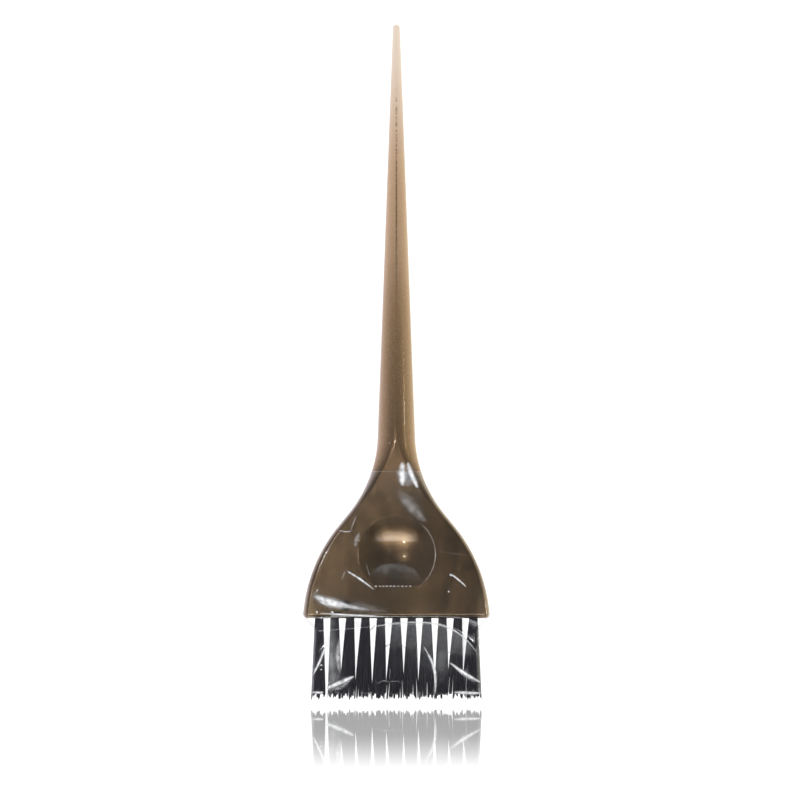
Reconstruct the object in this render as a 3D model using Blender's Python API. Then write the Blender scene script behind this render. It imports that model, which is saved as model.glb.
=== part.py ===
"""Tint brush: a one-piece moulded handle with a pointed tail and a fan-shaped head, two rows of nylon tufts,
each folded over its own metal anchor in a blind hole, and a clear shrink sleeve round the head.

Metres, +Z up. The brush stands on its trimmed bristle tips. The origin is the middle of the tips' plane,
X runs across the head and Y through its thickness.
"""

import math

import bmesh
import bpy
from mathutils import Matrix

MM = 0.001

# Heights above the bristle tips
HEAD_BOTTOM = 26.4 * MM  # lower face of the head, which the tufts come out of
TAIL_END = 219.0 * MM

# The handle's edge seen from the front, from the bottom up: a shoulder arc, a slope, a flare arc, the tail.
# Each lean is how far the edge tilts inwards from the vertical.
HEAD_HALF_WIDTH = 30.1 * MM
SIDE_LEAN = math.radians(4.1)
SHOULDER_RADIUS = 50.0 * MM
SLOPE_LEAN = math.radians(39.2)
SLOPE_LENGTH = 5.45 * MM
FLARE_RADIUS = 41.5 * MM
TAIL_LEAN = math.radians(2.16)
ARC_STEP = math.radians(4.0)
TAIL_RINGS = 6
TIP_RINGS = 4

# The handle's thickness: a flat slab with round edges in the head, which turns into a round bar at the neck
HEAD_HALF_THICKNESS = 4.6 * MM
HEAD_EDGE_RADIUS = 1.7 * MM
LOWER_EDGE_RADIUS = 1.5 * MM
SLAB_TOP = 60.0 * MM  # above this the slab starts to turn into the bar
BAR_BOTTOM = 86.0 * MM  # above this the handle is a round bar
CORNER_STEPS = 6  # facets on each rounded corner of a section

# Thumb dishes, one in each broad face of the head: spherical, with the lowest part cut off straight
DISH_RADIUS = 12.3 * MM
DISH_DEPTH = 1.9 * MM
DISH_HEIGHT = 47.2 * MM
DISH_FOOT = 36.8 * MM  # height of the straight lower edge
DISH_SEGMENTS = 36
DISH_STEPS = 5
DISH_OVERREACH = 1.15  # the cutter's radius over the dish's

# Tufts: two rows of eleven
TUFTS_IN_ROW = 11
TUFT_PITCH = 5.0 * MM
ROW_Y = {"front": -2.1 * MM, "rear": 2.1 * MM}
TUFT_RADIUS = 1.4 * MM
TUFT_DEPTH = 6.2 * MM  # how far the fold lies above the head's lower face
TIP_HALF_WIDTH = 2.33 * MM
TIP_HALF_DEPTH = 1.92 * MM
TIP_SPREAD = 1.005  # the row is this much wider at the tips than at the roots
TUFT_POINTS = 12
FOLD_ANGLES = (0, 35, 70)  # degrees round the fold's rounded top
CLEARANCE = 0.1 * MM  # between a tuft and its hole, and round an anchor
HOLE_SEGMENTS = 14

# Anchors: flat wire, driven in on edge through the fold of each tuft
ANCHOR_LENGTH = 3.4 * MM
ANCHOR_THICKNESS = 0.3 * MM
ANCHOR_HEIGHT = 1.6 * MM
ANCHOR_BELOW_FOLD = 1.1 * MM
WINDOW_LENGTH = 4.4 * MM  # of the cutter that opens a tuft for its anchor

# Shrink sleeve: a tube of clear film, open at the neck and just above the tips
SLEEVE_TOP = 74.0 * MM
SLEEVE_BOTTOM = 2.0 * MM
SLEEVE_GAP = 0.3 * MM
SLEEVE_WALL = 0.15 * MM
SLEEVE_TURN_IN = 6.0 * MM  # height over which it draws in from the head to the tufts
SLEEVE_RINGS = 22

CUTTER_OVERSHOOT = 2.0 * MM  # how far a cutter stands out of what it cuts
SAME_POINT = 0.001 * MM  # points nearer than this are one point
SHARP_ANGLE = math.radians(35)

# Base colour, roughness and metallic value
BRONZE_PLASTIC = ((0.13, 0.085, 0.05, 1.0), 0.18, 0.0)
BLACK_NYLON = ((0.012, 0.012, 0.014, 1.0), 0.45, 0.0)
ANCHOR_BRASS = ((0.75, 0.62, 0.34, 1.0), 0.3, 1.0)
CLEAR_FILM = ((0.9, 0.93, 0.95, 0.2), 0.08, 0.0)


def clear_scene():
    for obj in list(bpy.data.objects):
        bpy.data.objects.remove(obj)


def material(name, look):
    colour, roughness, metallic = look
    made = bpy.data.materials.new(name)
    made.use_nodes = True
    shader = made.node_tree.nodes["Principled BSDF"]
    shader.inputs["Base Color"].default_value = colour
    shader.inputs["Alpha"].default_value = colour[3]
    shader.inputs["Roughness"].default_value = roughness
    shader.inputs["Metallic"].default_value = metallic
    return made


def object_from(bm, name, finish=None):
    """An object with the bmesh as its mesh, shaded smooth between its sharp edges. Frees the bmesh."""
    bmesh.ops.remove_doubles(bm, verts=bm.verts, dist=SAME_POINT)
    bmesh.ops.recalc_face_normals(bm, faces=bm.faces)
    mesh = bpy.data.meshes.new(name)
    bm.to_mesh(mesh)
    bm.free()
    mesh.shade_smooth()
    mesh.set_sharp_from_angle(angle=SHARP_ANGLE)
    if finish:
        mesh.materials.append(finish)
    made = bpy.data.objects.new(name, mesh)
    bpy.context.scene.collection.objects.link(made)
    return made


def cutter_from(bm, name):
    made = object_from(bm, name)
    made.hide_render = True
    made.display_type = "WIRE"
    return made


def cut(obj, cutter):
    modifier = obj.modifiers.new("cut_" + cutter.name, "BOOLEAN")
    modifier.operation = "DIFFERENCE"
    modifier.object = cutter


def loft(bm, rings):
    """Joins rings of (x, y, z) points with faces, in order, and returns their loops of vertices."""
    loops = [[bm.verts.new(point) for point in ring] for ring in rings]
    for lower, upper in zip(loops, loops[1:]):
        bridge(bm, lower, upper)
    return loops


def bridge(bm, one, other):
    for i in range(len(one)):
        j = (i + 1) % len(one)
        bm.faces.new((one[i], one[j], other[j], other[i]))


def capped_loft(rings):
    bm = bmesh.new()
    loops = loft(bm, rings)
    bm.faces.new(loops[0])
    bm.faces.new(loops[-1])
    return bm


def smooth_step(value, low, high):
    share = min(max((value - low) / (high - low), 0.0), 1.0)
    return share * share * (3 - 2 * share)


def blend(low, high, share):
    return low + (high - low) * share


# The handle


def lean_arc(start, radius, lean_from, lean_to):
    """(half width, height) points on an arc whose lean goes from one angle to the other."""
    width, height = start
    turn = math.copysign(radius, lean_to - lean_from)
    steps = math.ceil(abs(lean_to - lean_from) / ARC_STEP)
    points = []
    for i in range(1, steps + 1):
        lean = blend(lean_from, lean_to, i / steps)
        inwards = turn * (math.cos(lean_from) - math.cos(lean))
        upwards = turn * (math.sin(lean) - math.sin(lean_from))
        points.append((width - inwards, height + upwards))
    return points


def edge_points():
    """(half width, height) up the handle's edge, from the head's lower corner to the tail's round end."""
    points = [(HEAD_HALF_WIDTH, HEAD_BOTTOM + LOWER_EDGE_RADIUS)]
    points += lean_arc(points[-1], SHOULDER_RADIUS, SIDE_LEAN, SLOPE_LEAN)
    width, height = points[-1]
    inwards = SLOPE_LENGTH * math.sin(SLOPE_LEAN)
    upwards = SLOPE_LENGTH * math.cos(SLOPE_LEAN)
    points.append((width - inwards, height + upwards))
    points += lean_arc(points[-1], FLARE_RADIUS, SLOPE_LEAN, TAIL_LEAN)
    width, height = points[-1]
    taper = math.tan(TAIL_LEAN)
    tip_radius = (width - (TAIL_END - height) * taper) / (1 - taper)
    tail_length = TAIL_END - tip_radius - height
    for i in range(1, TAIL_RINGS + 1):
        rise = tail_length * i / TAIL_RINGS
        points.append((width - rise * taper, height + rise))
    return points


def half_width_at(height):
    points = edge_points()
    for (low_width, low), (high_width, high) in zip(points, points[1:]):
        if height <= high:
            return blend(low_width, high_width, max((height - low) / (high - low), 0.0))
    return points[-1][0]


def section_at(half_width, height):
    """(half width, half thickness, corner radius) of the handle's section."""
    if height >= BAR_BOTTOM:
        return half_width, half_width, half_width
    bar = smooth_step(height, SLAB_TOP, BAR_BOTTOM)
    bar_radius = half_width_at(BAR_BOTTOM)
    half_thickness = blend(HEAD_HALF_THICKNESS, bar_radius, bar)
    return half_width, half_thickness, blend(HEAD_EDGE_RADIUS, half_thickness, bar)


def section_ring(section, height):
    """A rounded rectangle, or a circle where its corners meet, as a ring of points."""
    half_width, half_thickness, radius = section
    ring = []
    for quarter, (side_x, side_y) in enumerate(((1, 1), (-1, 1), (-1, -1), (1, -1))):
        middle_x = side_x * (half_width - radius)
        middle_y = side_y * (half_thickness - radius)
        for i in range(CORNER_STEPS + 1):
            angle = math.pi / 2 * (quarter + i / CORNER_STEPS)
            ring.append((middle_x + radius * math.cos(angle), middle_y + radius * math.sin(angle), height))
    return ring


def foot_rings():
    """The rounded lower edge of the head, from its flat lower face up."""
    half_width, half_thickness, radius = section_at(HEAD_HALF_WIDTH, HEAD_BOTTOM)
    rings = []
    for i in range(CORNER_STEPS):
        angle = math.pi / 2 * i / CORNER_STEPS
        inset = LOWER_EDGE_RADIUS * (1 - math.sin(angle))
        height = HEAD_BOTTOM + LOWER_EDGE_RADIUS * (1 - math.cos(angle))
        rings.append(section_ring((half_width - inset, half_thickness - inset, radius - inset), height))
    return rings


def tip_rings():
    """The tail's round end."""
    tip_radius, dome_base = edge_points()[-1]
    rings = []
    for i in range(1, TIP_RINGS):
        angle = math.pi / 2 * i / TIP_RINGS
        radius = tip_radius * math.cos(angle)
        rings.append(section_ring((radius, radius, radius), dome_base + tip_radius * math.sin(angle)))
    return rings


def handle_rings():
    middle = [section_ring(section_at(width, height), height) for width, height in edge_points()]
    return foot_rings() + middle + tip_rings()


def dish_cutter(name, side):
    """A lens on the broad face that looks along side * Y, with its lowest part cut off."""
    sphere = (DISH_RADIUS**2 + DISH_DEPTH**2) / (2 * DISH_DEPTH)
    lowest = HEAD_HALF_THICKNESS - DISH_DEPTH
    reach = DISH_RADIUS * DISH_OVERREACH
    radii = [reach * i / DISH_STEPS for i in range(DISH_STEPS + 1)]
    profile = [(radius, lowest + sphere - math.sqrt(sphere**2 - radius**2)) for radius in radii]
    profile.append((reach, HEAD_HALF_THICKNESS + CUTTER_OVERSHOOT))
    profile.append((0.0, HEAD_HALF_THICKNESS + CUTTER_OVERSHOOT))
    rings = []
    for radius, depth in profile:
        angles = [2 * math.pi * i / DISH_SEGMENTS for i in range(DISH_SEGMENTS)]
        circle = [(radius * math.cos(angle), radius * math.sin(angle)) for angle in angles]
        rings.append([(x, side * depth, DISH_HEIGHT + z) for x, z in circle])
    bm = bmesh.new()
    loft(bm, rings)
    bmesh.ops.remove_doubles(bm, verts=bm.verts, dist=SAME_POINT)
    whole = bm.verts[:] + bm.edges[:] + bm.faces[:]
    bmesh.ops.bisect_plane(bm, geom=whole, plane_co=(0, 0, DISH_FOOT), plane_no=(0, 0, 1), clear_inner=True)
    bmesh.ops.holes_fill(bm, edges=[edge for edge in bm.edges if edge.is_boundary])
    return cutter_from(bm, name)


def tuft_places():
    """(name, x, y) of each tuft at its root."""
    places = []
    for row, y in ROW_Y.items():
        for i in range(TUFTS_IN_ROW):
            x = (i - (TUFTS_IN_ROW - 1) / 2) * TUFT_PITCH
            places.append((f"{row}_{i + 1:02d}", x, y))
    return places


def hole_cutter():
    """A rod for each tuft's blind hole."""
    low = HEAD_BOTTOM - CUTTER_OVERSHOOT
    high = HEAD_BOTTOM + TUFT_DEPTH + CLEARANCE
    radius = TUFT_RADIUS + CLEARANCE
    shape = {"cap_ends": True, "segments": HOLE_SEGMENTS, "radius1": radius, "radius2": radius}
    bm = bmesh.new()
    for _, x, y in tuft_places():
        middle = Matrix.Translation((x, y, (low + high) / 2))
        bmesh.ops.create_cone(bm, depth=high - low, matrix=middle, **shape)
    return cutter_from(bm, "hole_cutter")


def plate_cutter(name, length, low, high):
    """An upright plate through each tuft's place, with room for the anchor's thickness."""
    size = Matrix.Diagonal((length, ANCHOR_THICKNESS + 2 * CLEARANCE, high - low, 1))
    bm = bmesh.new()
    for _, x, y in tuft_places():
        middle = Matrix.Translation((x, y, (low + high) / 2))
        bmesh.ops.create_cube(bm, size=1, matrix=middle @ size)
    return cutter_from(bm, name)


def anchor_heights():
    high = HEAD_BOTTOM + TUFT_DEPTH - ANCHOR_BELOW_FOLD
    return high - ANCHOR_HEIGHT, high


def make_handle():
    handle = object_from(capped_loft(handle_rings()), "handle", material("bronze_plastic", BRONZE_PLASTIC))
    cut(handle, dish_cutter("front_dish_cutter", -1))
    cut(handle, dish_cutter("rear_dish_cutter", 1))
    cut(handle, hole_cutter())
    # The anchors plough a groove down each hole's wall as they are driven in
    groove_top = anchor_heights()[1] + CLEARANCE
    groove_length = ANCHOR_LENGTH + 2 * CLEARANCE
    cut(handle, plate_cutter("groove_cutter", groove_length, HEAD_BOTTOM - CUTTER_OVERSHOOT, groove_top))


# The tufts and their anchors


def tuft_ring(x, y, half_width, half_depth, height):
    ring = []
    for i in range(TUFT_POINTS):
        angle = 2 * math.pi * (i + 0.5) / TUFT_POINTS
        ring.append((x + half_width * math.cos(angle), y + half_depth * math.sin(angle), height))
    return ring


def tuft_rings(x, y):
    """From the trimmed tips, where the tuft is spread, up to its rounded fold."""
    rings = [
        tuft_ring(x * TIP_SPREAD, y, TIP_HALF_WIDTH, TIP_HALF_DEPTH, 0.0),
        tuft_ring(x, y, TUFT_RADIUS, TUFT_RADIUS, HEAD_BOTTOM),
    ]
    fold_radius = TUFT_RADIUS / 2
    for degrees in FOLD_ANGLES:
        angle = math.radians(degrees)
        radius = TUFT_RADIUS - fold_radius * (1 - math.cos(angle))
        height = HEAD_BOTTOM + TUFT_DEPTH - fold_radius * (1 - math.sin(angle))
        rings.append(tuft_ring(x, y, radius, radius, height))
    return rings


def make_tufts():
    nylon = material("black_nylon", BLACK_NYLON)
    low, high = anchor_heights()
    # The window under each fold, which the anchor passes through
    window = plate_cutter("window_cutter", WINDOW_LENGTH, low - CLEARANCE, high + CLEARANCE)
    for place, x, y in tuft_places():
        tuft = object_from(capped_loft(tuft_rings(x, y)), "tuft_" + place, nylon)
        cut(tuft, window)


def make_anchors():
    brass = material("anchor_brass", ANCHOR_BRASS)
    low, high = anchor_heights()
    size = Matrix.Diagonal((ANCHOR_LENGTH, ANCHOR_THICKNESS, high - low, 1))
    for place, x, y in tuft_places():
        bm = bmesh.new()
        bmesh.ops.create_cube(bm, size=1, matrix=size)
        anchor = object_from(bm, "anchor_" + place, brass)
        anchor.location = (x, y, (low + high) / 2)


# The shrink sleeve


def tuft_block():
    """(half width, half thickness) of the box round all the tufts at their tips."""
    last_x = (TUFTS_IN_ROW - 1) / 2 * TUFT_PITCH * TIP_SPREAD
    return last_x + TIP_HALF_WIDTH, ROW_Y["rear"] + TIP_HALF_DEPTH


def sleeve_ring(height, gap):
    """The film's section this far outside the head, or outside the tufts below it."""
    half_width, half_thickness, radius = section_at(half_width_at(height), height)
    block_width, block_thickness = tuft_block()
    on_head = smooth_step(height, HEAD_BOTTOM - SLEEVE_TURN_IN, HEAD_BOTTOM)
    half_width = blend(block_width, half_width, on_head) + gap
    half_thickness = blend(block_thickness, half_thickness, on_head) + gap
    return section_ring((half_width, half_thickness, radius + gap), height)


def make_sleeve():
    heights = [blend(SLEEVE_BOTTOM, SLEEVE_TOP, i / SLEEVE_RINGS) for i in range(SLEEVE_RINGS + 1)]
    bm = bmesh.new()
    inner = loft(bm, [sleeve_ring(height, SLEEVE_GAP) for height in heights])
    outer = loft(bm, [sleeve_ring(height, SLEEVE_GAP + SLEEVE_WALL) for height in heights])
    bridge(bm, inner[0], outer[0])
    bridge(bm, inner[-1], outer[-1])
    object_from(bm, "shrink_sleeve", material("clear_film", CLEAR_FILM))


clear_scene()
make_handle()
make_tufts()
make_anchors()
make_sleeve()
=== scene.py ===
"""Looks of the tint brush: the moulded pearl-bronze handle, folded nylon tufts and the clear shrink sleeve.

Metres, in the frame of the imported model: +Z up, the front towards -Y, the bristle tips' plane at zero.
"""

import math

import bmesh
import bpy
import numpy as np
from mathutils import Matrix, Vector


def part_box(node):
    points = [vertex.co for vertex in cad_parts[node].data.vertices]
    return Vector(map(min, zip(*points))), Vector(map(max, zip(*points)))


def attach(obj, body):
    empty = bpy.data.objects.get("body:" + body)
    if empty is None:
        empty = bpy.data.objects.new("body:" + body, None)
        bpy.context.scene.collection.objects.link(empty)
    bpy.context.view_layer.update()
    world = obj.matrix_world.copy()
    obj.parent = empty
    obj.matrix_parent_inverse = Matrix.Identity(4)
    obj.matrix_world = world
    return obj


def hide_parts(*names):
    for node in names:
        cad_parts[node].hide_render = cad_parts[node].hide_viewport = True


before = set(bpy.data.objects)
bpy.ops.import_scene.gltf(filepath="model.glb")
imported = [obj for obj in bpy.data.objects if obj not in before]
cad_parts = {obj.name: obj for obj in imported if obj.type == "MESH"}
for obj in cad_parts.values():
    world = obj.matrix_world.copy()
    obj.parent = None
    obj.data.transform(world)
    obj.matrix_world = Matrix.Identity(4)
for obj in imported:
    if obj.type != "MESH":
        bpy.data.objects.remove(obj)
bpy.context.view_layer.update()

MM = 0.001
SHARP_DEGREES = 35.0  # edges that turn more than this stay sharp
STRAND_SHARP_DEGREES = 60.0
FILM_SHARP_DEGREES = 180.0  # none do

# From the frame
HANDLE_LOW, HANDLE_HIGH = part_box("handle")
SLEEVE_LOW, SLEEVE_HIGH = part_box("shrink_sleeve")
HEAD_BOTTOM = HANDLE_LOW.z
TAIL_END = HANDLE_HIGH.z
HEAD_HALF_WIDTH = HANDLE_HIGH.x

# The handle's edge seen from the front, as in the CAD model: shoulder arc, slope, flare arc, tail
SIDE_LEAN = math.radians(4.1)
SHOULDER_RADIUS = 50.0 * MM
SLOPE_LEAN = math.radians(39.2)
SLOPE_LENGTH = 5.45 * MM
FLARE_RADIUS = 41.5 * MM
TAIL_LEAN = math.radians(2.16)
ARC_STEP = math.radians(1.0)
TAIL_RINGS = 40
TIP_RINGS = 6

# The handle's thickness
HEAD_HALF_THICKNESS = 4.6 * MM
HEAD_EDGE_RADIUS = 1.7 * MM
LOWER_EDGE_RADIUS = 1.5 * MM
SLAB_TOP = 60.0 * MM
BAR_BOTTOM = 86.0 * MM
CORNER_STEPS = 16
SUPPORT_INSET = 0.3 * MM  # of the points that keep the straight sides flat
SUPPORT_SHARE = 0.2  # the most that inset may take of a short side
FLAT_LOW = HEAD_BOTTOM + LOWER_EDGE_RADIUS + SUPPORT_INSET
FLAT_HIGH = SLAB_TOP - SUPPORT_INSET
SLOPE_STEPS = 6
TOUCHING = 0.001 * MM  # points nearer than this become one
FACE_MARGIN = 0.01 * MM  # open edges this near a flat face's plane are in it

# Thumb dishes
DISH_RADIUS = 12.3 * MM
DISH_DEPTH = 1.9 * MM
DISH_HEIGHT = 47.2 * MM
DISH_FOOT = 36.8 * MM
DISH_ARC_STEPS = 132
DISH_CHORD_STEPS = 36
DISH_RINGS = 22
DISH_WALL_SLOPE = math.tan(math.radians(72))
DISH_SOFTNESS = 0.11 * MM  # how round its edges are
DISH_LIP = 0.13 * MM  # the faint raised lip round the rim
DISH_LIP_WIDTH = 0.24 * MM
DISH_LIP_PLACE = 1.2 * DISH_LIP_WIDTH  # of the lip's crest, outside the rim
RIM_REACH = 0.6 * MM  # the rim's fine rings go this far to each side of it
RIM_RINGS = 15

# Tufts
TUFTS_IN_ROW = 11
TUFT_PITCH = 5.0 * MM
ROW_Y = {"front": -2.1 * MM, "rear": 2.1 * MM}
TUFT_RADIUS = 1.4 * MM
TUFT_DEPTH = 6.2 * MM
HOLE_RADIUS = 1.5 * MM
HOLE_SPARE = 0.1 * MM  # of a hole beyond its tuft's end
HOLE_SEGMENTS = 32
STRANDS = 82  # nylon filaments in a tuft, each folded in two
STRAND_RADIUS = 0.088 * MM
STRAND_TIP_RADIUS = 0.05 * MM
STRAND_SIDES = 5
LEG_RINGS = 5
FOLD_RINGS = 5
ANCHOR_GAP = 0.26 * MM  # between the anchor's middle and the nearest strand
FOLD_LOW = 5.25 * MM  # above the head's lower face
FOLD_RISE = 0.62
TIP_DEPTH_SCALE = 1.34
TIP_RAGGED = 1.9 * MM
TIP_SCATTER = 0.06 * MM
TIP_UNEVEN = 0.3  # of the raggedness, among the tips of one clump
LEG_BOW = 0.08 * MM
ROOT_SCATTER = 0.02  # of the tuft's radius
ROOT_SIDE = 0.85 * TUFT_RADIUS  # roots this far out end at the side of the tuft's tips
SEED = 7

# Where the bristles of neighbouring tufts meet, in millimetres: the (x, z) of each gap's lower end
GAP_ENDS = ((-22.7, -10.0), (-18.0, 4.5), (-13.5, 1.0), (-8.0, 0.0), (-3.6, 0.0))
GAP_ENDS += ((2.2, 2.0), (6.9, 0.0), (12.3, 0.0), (16.6, 1.5), (21.5, 3.0))
TIPS_REACH = 27.5 * MM  # of the outermost tips, to each side
TIP_OVERLAP = 0.04 * MM
CLUMPS = 9
CLUMP_SCATTER = 0.12 * MM
CLUMP_STRAYING = 0.4  # in clumps: how far a filament ends from its own
CLUMP_PULL = 0.35  # the least share of the way to its clump that a tip is drawn
CLUMP_PULL_SPREAD = 0.4  # and how much more, at random
CLUMP_CUT_POWER = 1.4  # above one, more clumps are nearly full length

# The shrink film
FILM_GAP = 0.34 * MM  # outside the head's and the bristles' faces
FILM_SIDE_GAP = 0.12 * MM
FILM_WALL = 0.05 * MM
FILM_TURN_IN = 4.6 * MM  # height over which it draws in below the head
FILM_SHOULDER = HEAD_BOTTOM + LOWER_EDGE_RADIUS / 2  # from here up it has the head's outline
FILM_FOOT = HEAD_BOTTOM - 1.9 * MM  # the highest that it starts to widen towards the head's thickness
FILM_RING_STEP = 0.42 * MM
FILM_FRONT_STEPS = 150
FILM_REAR_STEPS = 80
FILM_CORNER_STEPS = 8
FILM_SIDE_STEPS = 6
FILM_WAVES = 14
FILM_WAVE_LENGTHS = (5.0, 18.0)  # shortest and longest, in millimetres
FILM_WAVE_HEIGHT = 0.010 * MM
RIDGE_ROUND = 0.2  # how round a lifted ridge's top is, as a share of its reach
FOLD_SAMPLE = 0.3 * MM  # between a fold's cross-sections
FOLD_POINTS = 15  # across a fold
FOLD_OFFSET = 0.045 * MM  # of a fold's foot from the film
FOLD_CREST = 0.16  # a fold's height over its width
FOLD_SPREAD = 2.2  # half width of a fold's strip over its crest's half width
FOLD_OVERHANG = 4 * MM  # above the film's end the folds keep the outline it has this far up
CURVE_STEP = 0.125  # between the points added to a fold's path, from one given point to the next

# Where the film widens from the bristles towards the head: (x, z) in millimetres, from left to right
ARCH = ((-27.0, 21.8), (-16.0, 22.6), (-7.4, 23.7), (0.2, 24.9), (8.0, 25.1))
ARCH += ((13.7, 24.5), (18.9, 22.4), (23.2, 18.9), (26.6, 14.6))
ARCH_FOLD = ARCH[2:]  # the part of it that shows as a fold

# Folds in the film over the front, in millimetres. Each has its (x, z) points, its crest's half width, how
# bright the painted glint on its crest is, how far it lifts the film round it, and how far that lift reaches
# above and below.
FRONT_FOLDS = (
    # over the neck and the head
    (((1.9, 77.0), (1.8, 73.5), (2.0, 69.2)), 1.3, 1.0, 0.0, 1.0, 1.0),
    (((3.6, 77.0), (4.6, 73.6), (6.9, 68.6)), 0.95, 1.0, 0.0, 1.0, 1.0),
    (((0.9, 66.4), (4.6, 62.6), (9.6, 57.6)), 1.9, 0.13, 0.10, 2.0, 2.0),
    (((-11.8, 54.4), (-12.8, 51.8), (-13.4, 49.4)), 0.85, 0.16, 0.06, 1.2, 2.0),
    (((-12.7, 60.0), (-14.0, 57.0), (-14.8, 54.6)), 0.24, 0.2, 0.05, 1.0, 1.0),
    (((-18.6, 54.9), (-16.2, 54.5), (-13.8, 54.8)), 0.22, 0.45, 0.06, 1.0, 1.0),
    (((-16.1, 41.9), (-14.6, 41.0), (-11.1, 38.8), (-7.1, 35.7)), 0.36, 0.8, 0.18, 1.1, 3.5),
    (((17.0, 41.2), (19.0, 39.8), (21.2, 38.0), (22.6, 36.6)), 0.32, 0.8, 0.12, 1.2, 2.4),
    (((12.6, 48.2), (18.0, 47.6), (23.7, 46.5)), 0.3, 0.05, 0.16, 0.8, 3.0),
    (((-9.6, 44.4), (-9.2, 42.2), (-8.3, 39.6)), 0.24, 0.14, 0.05, 0.8, 0.8),
    (((-8.6, 41.2), (-4.5, 43.6), (1.0, 44.0), (5.5, 42.4), (8.2, 39.2)), 0.5, 0.03, 0.04, 0.8, 3.0),
    (((-26.6, 33.9), (-24.0, 32.6), (-20.5, 31.4), (-15.0, 30.3)), 1.35, 1.0, 0.22, 2.2, 2.2),
    (((-19.5, 31.4), (-14.0, 30.1), (-8.5, 29.2)), 0.8, 0.36, 0.08, 1.4, 1.4),
    (((-24.8, 28.2), (-17.1, 27.7), (-3.2, 27.0)), 0.34, 0.85, 0.08, 0.9, 0.9),
    (((-26.0, 28.6), (-25.3, 28.5)), 0.4, 1.0, 0.06, 0.7, 0.7),
    (((-20.9, 28.5), (-20.2, 28.4)), 0.36, 1.0, 0.06, 0.7, 0.7),
    (((-24.5, 26.8), (-23.9, 26.5)), 0.4, 1.0, 0.06, 0.7, 0.7),
    (((16.6, 35.2), (17.2, 35.1)), 0.32, 0.95, 0.05, 0.7, 0.7),
    (((-15.4, 41.5), (-14.7, 41.05)), 0.4, 1.0, 0.0, 1.0, 1.0),
    (((-11.3, 38.9), (-10.4, 38.2)), 0.42, 1.0, 0.0, 1.0, 1.0),
    (((17.2, 40.7), (17.9, 40.2)), 0.42, 1.0, 0.0, 1.0, 1.0),
    # over the bristles
    (ARCH_FOLD, 0.42, 0.5, 0.14, 0.8, 3.5),
    (((-22.4, 18.6), (-24.6, 13.0), (-27.2, 7.6)), 0.42, 0.95, 0.12, 1.2, 1.2),
    (((-22.9, 3.9), (-18.4, 5.6), (-13.6, 7.8)), 0.78, 1.0, 0.24, 1.6, 2.2),
    (((-24.4, 11.6), (-24.2, 11.0)), 0.38, 1.0, 0.05, 0.7, 0.7),
    (((-24.4, 10.1), (-24.2, 9.7)), 0.34, 1.0, 0.05, 0.7, 0.7),
    (((-18.4, 20.0), (-18.9, 14.0), (-18.2, 8.5)), 1.0, 0.3, 0.08, 1.6, 1.6),
    (((8.7, 17.6), (11.5, 12.4), (12.6, 7.4), (12.4, 1.4)), 0.5, 0.8, 0.14, 1.2, 1.8),
    (((17.0, 12.3), (21.9, 8.8), (27.4, 5.6)), 0.6, 1.0, 0.15, 1.4, 1.8),
    (((18.5, 2.6), (23.0, 2.4), (27.5, 2.3)), 0.55, 0.85, 0.10, 1.2, 0.8),
    (((-27.4, 2.6), (-25.5, 2.5), (-23.4, 2.6)), 0.42, 0.85, 0.06, 0.9, 0.6),
    (((-7.0, 6.4), (-5.8, 5.4), (-4.6, 6.3), (-2.2, 6.0), (0.2, 6.2), (2.6, 5.4)), 0.22, 0.14, 0.0, 1.0, 1.0),
    (((26.4, 20.6), (26.9, 19.0), (26.7, 17.2)), 0.42, 0.9, 0.0, 1.0, 1.0),
)

# Where the film lies on the dish's rim, on the right, with a painted glint along it, in millimetres and
# degrees
RIM_LINE_RADIUS = DISH_RADIUS / MM + 0.3
RIM_LINE_ANGLES = (62, 42, 22, 2, -18, -38, -56)
RIM_LINE_LOOK = (0.17, 0.20, 0.0, 1.0, 1.0)

# The short painted glints, as dashes over the dish's straight foot, in millimetres
DASH_PLACES = (-6.6, -5.3, -4.2, -3.1, -1.9, -0.7, 0.6, 1.9, 3.2, 4.5)
DASH_HEIGHT = DISH_FOOT / MM + 0.1
DASH_HALF_LENGTH = 0.4
DASH_LOOK = (0.2, 0.75, 0.0, 1.0, 1.0)

# Where the film over the front is hazy, and where that haze is painted sheen laying on highlights and grey
# reflections: (x, z) points, how strongly, how far above them and how far below
FILM_HAZE_AND_SHEEN = (
    (ARCH_FOLD, 0.085, 0.5, 12.0),
    (((-23.0, 42.0), (-15.4, 41.4), (-11.1, 38.8), (-6.0, 35.0)), 0.022, 0.5, 4.0),
    (((-8.9, 40.6), (-4.5, 43.6), (1.0, 44.0), (5.5, 42.4), (8.6, 38.6)), 0.05, 0.5, 9.0),
    (((-29.0, 34.5), (-18.5, 31.0), (-2.0, 28.5)), 0.07, 2.0, 2.4),
    (((-21.9, 27.0), (-21.2, 14.0), (-20.2, 3.0)), 0.20, 1.9, 1.9),
    (((14.6, 18.0), (14.2, 12.0), (14.0, 5.0)), 0.05, 2.4, 2.4),
    (((1.9, 80.0), (2.9, 74.5), (4.0, 69.0)), 0.36, 1.4, 1.4),
    (((-1.0, 70.0), (3.5, 65.5), (10.5, 57.0)), 0.05, 3.0, 3.0),
)

# Folds over the rear, in millimetres: how many are tried, and the ranges their sizes are drawn from
REAR_FOLDS = 13
REAR_HEIGHTS = (4.0, 66.0)
REAR_LENGTHS = (3.0, 9.0)
REAR_TURN = 0.45  # how far their upper ends turn inwards, in radians
REAR_TURN_SCATTER = 0.6
REAR_BEND = 0.04  # over their length
REAR_HALF_WIDTHS = (0.18, 0.34)
# how bright their painted glints are
REAR_GLINT_STRENGTHS = (0.15, 0.6)
REAR_LIFTS = (0.03, 0.12)
REAR_REACHES = (1.4, 2.4)  # of the lift, above and below
REAR_START_MARGIN = 5.0  # from the film's sides to their first points
REAR_MARGIN = 2.5  # from the film's sides and lower end to all their points
REAR_TOP = 73
HEAD_WIDEST = 28.0  # below it the film is taken as wide as here

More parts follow.
